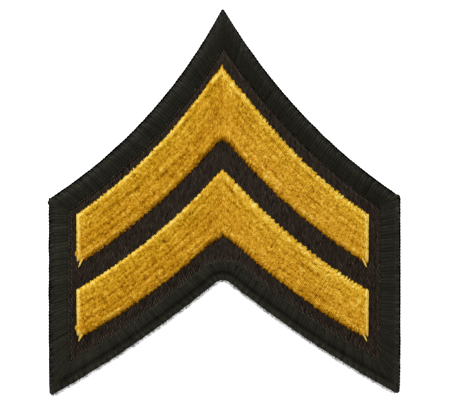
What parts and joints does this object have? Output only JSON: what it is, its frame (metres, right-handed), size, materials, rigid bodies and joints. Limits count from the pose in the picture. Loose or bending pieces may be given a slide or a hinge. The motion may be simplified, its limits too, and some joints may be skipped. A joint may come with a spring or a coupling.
{
  "type": "rank chevron patch",
  "caption": "Flat peaked cloth patch with a thick overlocked edge, a notched lower edge and raised gold chevrons, sewn on a sleeve to show rank.",
  "frame": {"origin": "middle of the patch's box in plan, at the level of the surface that it lies on", "axes": "+Y to the peak, +X to the right seen from the embroidered face, +Z out of that face"},
  "size_m": [0.0762, 0.0836, 0.0023],
  "materials": {
    "black_twill": "matt twill weave",
    "black_yarn": "soft low sheen of overlock yarn",
    "gold_thread": "silky sheen of embroidery thread"
  },
  "bodies": {
    "root": {"ground_cloth": "black_twill", "merrowed_edge": "black_yarn", "upper_chevron": "gold_thread", "lower_chevron": "gold_thread"}
  },
  "joints": []
}
